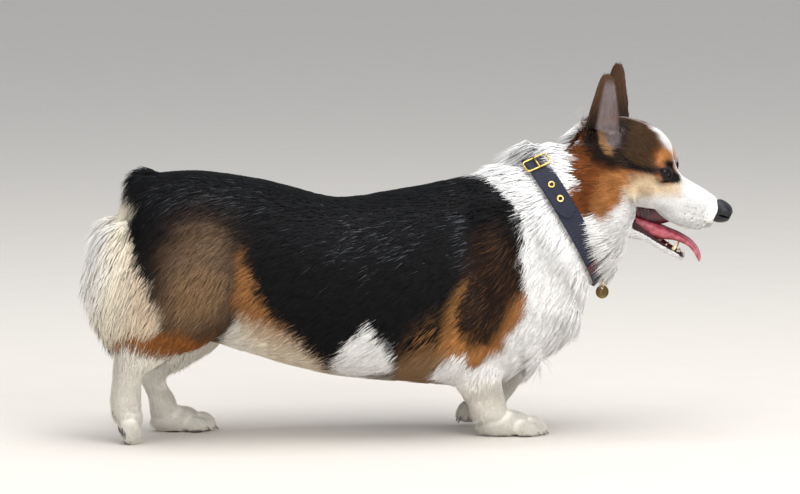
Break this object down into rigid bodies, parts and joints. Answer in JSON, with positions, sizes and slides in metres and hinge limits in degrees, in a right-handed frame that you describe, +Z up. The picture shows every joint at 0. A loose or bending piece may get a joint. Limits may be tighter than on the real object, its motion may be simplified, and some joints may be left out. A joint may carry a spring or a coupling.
{
  "type": "pembroke welsh corgi model",
  "caption": "Life-size model of a tricolour pembroke welsh corgi in mid stride, mouth open, wearing a buckled collar with a round tag.",
  "frame": {"origin": "on the floor, below the middle of the animal's box", "axes": "+X towards the head, +Y towards the animal's left, +Z up"},
  "size_m": [0.7368, 0.2042, 0.4123],
  "materials": {
    "coat_black": "dense glossy black outer coat",
    "coat_white": "white and cream coat",
    "coat_red": "red-tan short coat",
    "coat_brown": "grizzled brown coat",
    "nose_leather": "moist pebbled skin",
    "tongue": "wet pink",
    "eye": "glossy dark brown",
    "webbing": "navy webbing",
    "brass": "polished, worn"
  },
  "bodies": {
    "root": {"torso": "coat_black", "neck": "coat_white", "tail": "coat_black", "head": "coat_white", "lower_jaw": "coat_white", "ear_left": "coat_red", "ear_right": "coat_red", "nose": "nose_leather", "tongue": "tongue", "eye_left": "eye", "eye_right": "eye", "foreleg_left": "coat_white", "foreleg_right": "coat_white", "forepaw_left": "coat_white", "forepaw_right": "coat_white", "thigh_left": "coat_brown", "thigh_right": "coat_brown", "hock_left": "coat_white", "hock_right": "coat_white", "hindpaw_left": "coat_white", "hindpaw_right": "coat_white", "collar": "webbing", "collar_buckle": "brass", "collar_eyelet_1": "brass", "collar_eyelet_2": "brass", "collar_ring": "brass", "tag": "brass"}
  },
  "joints": []
}
